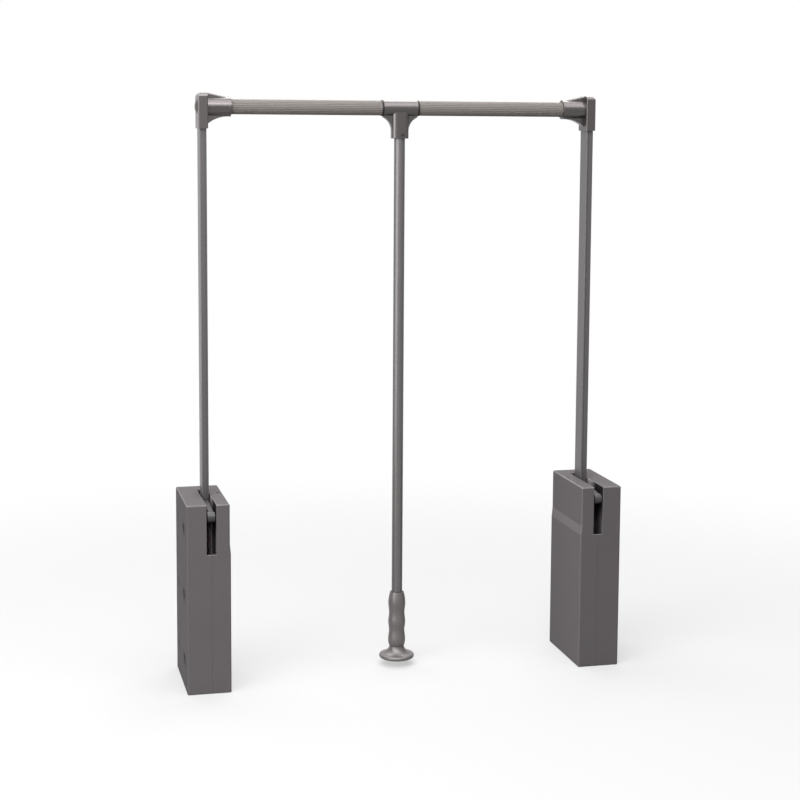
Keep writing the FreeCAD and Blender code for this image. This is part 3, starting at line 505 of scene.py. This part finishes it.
shellPaint = makeShellPaint()
tubePaint = finishMaterial(
    "mochaTubePaint", paintGroup,
    {
        "Colour": (0.0918, 0.0855, 0.0869, 1), "Flake": 0.20, "Cloud": 0.06,
        "Gloss Base": 0.33, "Peel": 0.08, "Edge": 0.1,
    },
    {"Metallic": 0.5, "Specular IOR Level": 0.3},
)
armPaint = finishMaterial(
    "mochaArmPaint", paintGroup,
    {
        "Colour": (0.0750, 0.0699, 0.0710, 1), "Flake": 0.20, "Cloud": 0.06,
        "Gloss Base": 0.36, "Peel": 0.12, "Edge": 0.1,
    },
    {"Metallic": 0.5, "Specular IOR Level": 0.3},
)
rodPaint = finishMaterial(
    "mochaRodPaint", paintGroup,
    {
        "Colour": (0.1140, 0.1033, 0.0965, 1), "Flake": 0.0, "Cloud": 0.04,
        "Gloss Base": 0.55, "Peel": 0.0, "Edge": 0.0,
    },
    {"Metallic": 0.05, "Specular IOR Level": 0.08},
)
castingPaint = finishMaterial(
    "mochaCastingPaint", paintGroup,
    {
        "Colour": (0.0805, 0.0732, 0.0732, 1), "Flake": 0.24, "Cloud": 0.10,
        "Gloss Base": 0.30, "Peel": 0.15, "Edge": 0.25,
    },
    {"Metallic": 0.85, "Specular IOR Level": 0.3},
)
gripPaint = finishMaterial(
    "mochaGripPaint", paintGroup,
    {
        "Colour": (0.0980, 0.0910, 0.0897, 1), "Flake": 0.24, "Cloud": 0.10,
        "Gloss Base": 0.42, "Peel": 0.25, "Edge": 0.15,
    },
    {"Metallic": 0.5, "Specular IOR Level": 0.3},
)
zincPlate = finishMaterial(
    "zincPlate", drawnGroup,
    {"Colour": (0.34, 0.34, 0.35, 1), "Streaks": 0.12, "Gloss Base": 0.36},
    {"Metallic": 0.9},
)
castZinc = finishMaterial(
    "castZinc", drawnGroup,
    {"Colour": (0.40, 0.39, 0.39, 1), "Streaks": 0.1, "Gloss Base": 0.45},
    {"Metallic": 0.8},
)
dullZinc = finishMaterial(
    "dullZinc", drawnGroup,
    {"Colour": (0.021, 0.0195, 0.0205, 1), "Streaks": 0.2, "Gloss Base": 0.5},
    {"Metallic": 0.3},
)
blackSteel = finishMaterial(
    "blackenedSteel", drawnGroup,
    {"Colour": (0.06, 0.057, 0.056, 1), "Streaks": 0.3, "Gloss Base": 0.38},
    {"Metallic": 0.8},
)
springSteel = finishMaterial(
    "springSteel", drawnGroup,
    {"Colour": (0.30, 0.30, 0.31, 1), "Streaks": 0.2, "Gloss Base": 0.3},
    {"Metallic": 1.0},
)
blackNylon = finishMaterial(
    "blackNylon", mouldedGroup,
    {"Colour": (0.010, 0.010, 0.011, 1), "Grain": 0.3, "Gloss Base": 0.60},
    {"Metallic": 0.0, "Specular IOR Level": 0.15},
)
blackRubber = finishMaterial(
    "blackRubber", mouldedGroup,
    {"Colour": (0.018, 0.018, 0.018, 1), "Grain": 0.5, "Gloss Base": 0.75},
    {"Metallic": 0.0},
)

finishOfSlot = {
    "painted_shell": shellPaint,
    "painted_tube": tubePaint,
    "painted_casting": castingPaint,
    "painted_grip": gripPaint,
    "bright_steel": zincPlate,
    "zinc_hub": castZinc,
    "grey_steel": dullZinc,
    "dark_steel": blackSteel,
    "spring_steel": springSteel,
    "black_plastic": blackNylon,
    "rubber": blackRubber,
}
ownFinish = {  # by the end of the node's name
    "cross_tube": rodPaint,
    "arm_tube": armPaint,
    "arm_rivets": armPaint,
    "rings": blackNylon,
}
for row in frame["record"]["subparts"]:
    finish = finishOfSlot[row["material_slot"]]
    for ending, own in ownFinish.items():
        if row["node"].endswith(ending):
            finish = own
    for slot in nodes[row["node"]].material_slots:
        slot.material = finish
print("materials ready")


# springs, wound anew so that their end turns lie closed

springs = {
    "wire": 0.0016,  # the wire's radius
    "turns": 13,
    "closedTurns": 1.25,  # at each end
    "closedPitch": 0.0034,
    "ring": 14,  # points round the wire
    "steps": 36,  # rings in a turn
    "travel": 0.030,  # the plunger's
    "smoothAngle": 50,
}


def coilHeight(turn, wound):
    # the first and last turns lie close together, and the rest share what is left
    closed = springs["closedTurns"]
    closedRise = closed * springs["closedPitch"]
    opened = springs["turns"] - 2 * closed
    pitch = (wound - 2 * closedRise) / opened
    if turn < closed:
        return turn * springs["closedPitch"]
    if turn < closed + opened:
        return closedRise + (turn - closed) * pitch
    return closedRise + opened * pitch + (turn - closed - opened) * springs["closedPitch"]


def makeSpring(side):
    node = side + "_compression_spring"
    low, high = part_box(node)
    middle = (low + high) / 2
    length = high.z - low.z
    wound = length - 2 * springs["wire"]  # from the wire's middle to its middle
    rise = wound / springs["turns"]
    radius = (high.x - low.x) / 2 - springs["wire"]
    bpy.ops.object.select_all(action="DESELECT")
    bpy.ops.mesh.primitive_circle_add(
        vertices=springs["ring"], radius=springs["wire"], location=(radius, 0, 0),
        rotation=(math.pi / 2, 0, 0),
    )
    spring = bpy.context.object
    spring.name = side + "WoundSpring"
    bpy.ops.object.transform_apply(location=True, rotation=True, scale=True)
    screw = spring.modifiers.new("coil", "SCREW")
    screw.axis = "Z"
    screw.steps = springs["steps"]
    screw.render_steps = springs["steps"]
    screw.iterations = springs["turns"]
    screw.screw_offset = rise
    bpy.ops.object.modifier_apply(modifier=screw.name)
    for index, point in enumerate(spring.data.vertices):
        turn = (index // springs["ring"]) / springs["steps"]
        point.co.z += coilHeight(turn, wound) - turn * rise
        point.co += Vector((middle.x, middle.y, low.z + springs["wire"]))
    # both ends of the wire are closed
    bpy.ops.object.mode_set(mode="EDIT")
    bpy.ops.mesh.select_all(action="DESELECT")
    bpy.ops.mesh.select_non_manifold()
    bpy.ops.mesh.fill_holes(sides=0)
    bpy.ops.mesh.select_all(action="SELECT")
    bpy.ops.mesh.normals_make_consistent(inside=False)
    bpy.ops.object.mode_set(mode="OBJECT")
    bpy.ops.object.shade_smooth_by_angle(angle=math.radians(springs["smoothAngle"]))
    spring.data.materials.append(springSteel)
    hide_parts(node)
    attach(spring, side + "_housing")
    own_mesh(spring)


for side in ("left", "right"):
    makeSpring(side)
print("springs ready")


# floor and backdrop

studio = {
    "floorSize": 12,
    "floorShade": 0.45,
    "seenShade": 0.16,
    "nearGlow": 0.52,
    "fade": (0.35, 1.5),  # metres from the middle, from shade to backdrop
    "backdrop": 1.0,
}


def seenOrMirrored(tree, place):
    # one where the camera, a reflection or a see-through surface looks at it
    path = addNode(tree, "ShaderNodeLightPath", (place[0] - 400, place[1]))
    camera, glossy = path.outputs["Is Camera Ray"], path.outputs["Is Glossy Ray"]
    direct = calc(tree, "MAXIMUM", (place[0] - 200, place[1]), camera, glossy)
    return calc(tree, "MAXIMUM", place, direct, path.outputs["Is Transmission Ray"])


def makeFloor():
    # shaded where the part stands, and only the backdrop's white further off
    bpy.ops.mesh.primitive_plane_add(size=studio["floorSize"], location=(0, 0, 0))
    floor = bpy.context.object
    floor.name = "studioFloor"
    material = bpy.data.materials.new("paleFloor")
    material.use_nodes = True
    tree = material.node_tree
    tree.nodes.clear()
    output = addNode(tree, "ShaderNodeOutputMaterial", (800, 0))
    away = lengthOf(tree, objectSpace(tree, (-900, 200)), (-700, 200))
    faded = mapRange(
        tree, away, (-500, 200), studio["fade"], (0, 1), interpolation_type="SMOOTHSTEP",
    )
    seen = seenOrMirrored(tree, (-400, -300))
    # light bounces off the whole shade, while the eye gets part shade and part glow
    thin = mapRange(tree, seen, (-250, 400), (0, 1), (studio["floorShade"], studio["seenShade"]))
    left = mapRange(tree, faded, (-250, 200), (0, 1), (1, 0))
    shade = calc(tree, "MULTIPLY", (-50, 300), thin, left)
    matte = addNode(tree, "ShaderNodeBsdfDiffuse", (150, 100))
    tree.links.new(shade, matte.inputs["Color"])
    level = mapRange(tree, faded, (-250, 0), (0, 1), (studio["nearGlow"], 1))
    strength = calc(tree, "MULTIPLY", (-50, -100), seen, level)
    glow = addNode(tree, "ShaderNodeEmission", (150, -100))
    tree.links.new(strength, glow.inputs["Strength"])
    both = addNode(tree, "ShaderNodeAddShader", (500, 0))
    tree.links.new(matte.outputs[0], both.inputs[0])
    tree.links.new(glow.outputs[0], both.inputs[1])
    tree.links.new(both.outputs[0], output.inputs["Surface"])
    floor.data.materials.append(material)


def makeWorld():
    # white to the eye and in reflections, and dark otherwise
    world = bpy.data.worlds.new("paleStudio")
    bpy.context.scene.world = world
    world.use_nodes = True
    tree = world.node_tree
    tree.nodes.clear()
    output = addNode(tree, "ShaderNodeOutputWorld", (600, 0))
    backdrop = addNode(tree, "ShaderNodeBackground", (350, 0))
    backdrop.inputs["Color"].default_value = (1, 1, 1, 1)
    seen = seenOrMirrored(tree, (0, 0))
    white = calc(tree, "MULTIPLY", (180, 0), seen, studio["backdrop"])
    tree.links.new(white, backdrop.inputs["Strength"])
    tree.links.new(backdrop.outputs[0], output.inputs["Surface"])


# lamps

lamps = {
    "topSoftbox": {
        "place": (0.1, -0.9, 2.4), "target": (0, 0, 0.6), "size": (2.6, 1.9), "power": 80,
    },
    "lowTopSoftbox": {
        "place": (-0.8, -1.5, 1.9), "target": (0, 0, 0.6), "size": (2.2, 0.9), "power": 60,
    },
    "backSoftbox": {
        "place": (0, 1.0, 2.2), "target": (0, 0, 0.6), "size": (2.4, 1.4), "power": 78,
    },
    "leftSoftbox": {
        "place": (-1.7, -0.8, 0.8), "target": (0, 0, 0.5), "size": (1.8, 1.6), "power": 50,
    },
    "frontSoftbox": {
        "place": (-0.4, -3.0, 1.0), "target": (0, 0, 0.5), "size": (1.6, 1.6), "power": 4,
    },
}


def softLamp(name, settings):
    bpy.ops.object.light_add(type="AREA", location=settings["place"])
    lamp = bpy.context.object
    lamp.name = name
    lamp.data.shape = "RECTANGLE"
    lamp.data.size, lamp.data.size_y = settings["size"]
    lamp.data.energy = settings["power"]
    aim = Vector(settings["target"]) - Vector(settings["place"])
    lamp.rotation_euler = aim.to_track_quat("-Z", "Y").to_euler()


# camera, at the front left and a little below the cross rod

view = {
    "place": (-0.5907, -2.4095, 0.8019),
    "heading": -13.757,
    "tilt": -6.384,
    "roll": -0.346,
    "lens": 76.26,
    "sensor": 36,
    "shift": -0.10,
}


def makeCamera():
    bpy.ops.object.camera_add(location=view["place"])
    camera = bpy.context.object
    camera.name = "studioCamera"
    turn = Matrix.Rotation(math.radians(view["heading"]), 4, "Z")
    turn = turn @ Matrix.Rotation(math.radians(90 + view["tilt"]), 4, "X")
    turn = turn @ Matrix.Rotation(math.radians(-view["roll"]), 4, "Z")
    camera.matrix_world = Matrix.Translation(view["place"]) @ turn
    camera.data.lens = view["lens"]
    camera.data.sensor_width = view["sensor"]
    camera.data.shift_y = view["shift"]
    bpy.context.scene.camera = camera


makeFloor()
makeWorld()
for name, settings in lamps.items():
    softLamp(name, settings)
makeCamera()
bpy.context.scene.view_settings.view_transform = "Standard"
print("stage ready")
